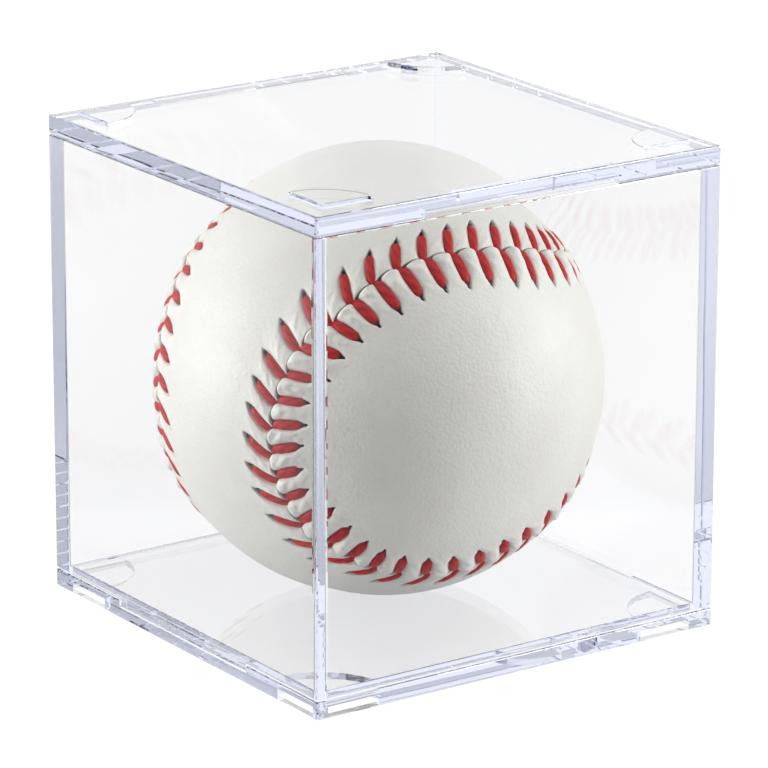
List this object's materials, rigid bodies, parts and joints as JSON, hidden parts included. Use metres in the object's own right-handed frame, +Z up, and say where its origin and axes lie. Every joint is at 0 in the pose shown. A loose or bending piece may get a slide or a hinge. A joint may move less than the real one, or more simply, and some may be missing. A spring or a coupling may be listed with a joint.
{
  "type": "baseball display case",
  "caption": "Clear square display case of base plate, open wall sleeve and lift-off lid with stacking pads, holding a stitched leather baseball.",
  "frame": {"origin": "middle of the base's underside", "axes": "+Z up; -Y out of the front face, the broad right-hand one in the picture; +X to the right of that face"},
  "size_m": [0.0804, 0.0804, 0.0844],
  "materials": {
    "clear_plastic": "clear moulded plastic, polished on both faces",
    "leather": "smooth white leather with a fine pebble grain",
    "thread": "waxed red thread",
    "yarn": "wound wool and cotton yarn",
    "red_rubber": "matt red rubber",
    "black_rubber": "matt black rubber",
    "cork": "pressed cork"
  },
  "bodies": {
    "case_base": {"base": "clear_plastic"},
    "case_sleeve": {"wall_sleeve": "clear_plastic"},
    "case_lid": {"lid": "clear_plastic"},
    "ball": {"yarn_winding": "yarn", "rubber_jacket": "red_rubber", "rubber_cup_upper": "black_rubber", "rubber_cup_lower": "black_rubber", "rubber_ring": "red_rubber", "cork_center": "cork", "cover_panel_one": "leather", "cover_panel_two": "leather", "seam_thread": "thread"}
  },
  "joints": [
    {"name": "sleeve_lift", "type": "slide", "parent": "case_base", "child": "case_sleeve", "axis": [0, 0, 1], "range_m": [0, 0.09]},
    {"name": "lid_lift", "type": "slide", "parent": "case_sleeve", "child": "case_lid", "axis": [0, 0, 1], "range_m": [0, 0.1]},
    {"name": "ball_lift", "type": "slide", "parent": "case_base", "child": "ball", "axis": [0, 0, 1], "range_m": [0, 0.08]}
  ],
  "couplings": [
    {"joint": "ball_lift", "follows": "lid_lift", "ratio": 0.8}
  ]
}
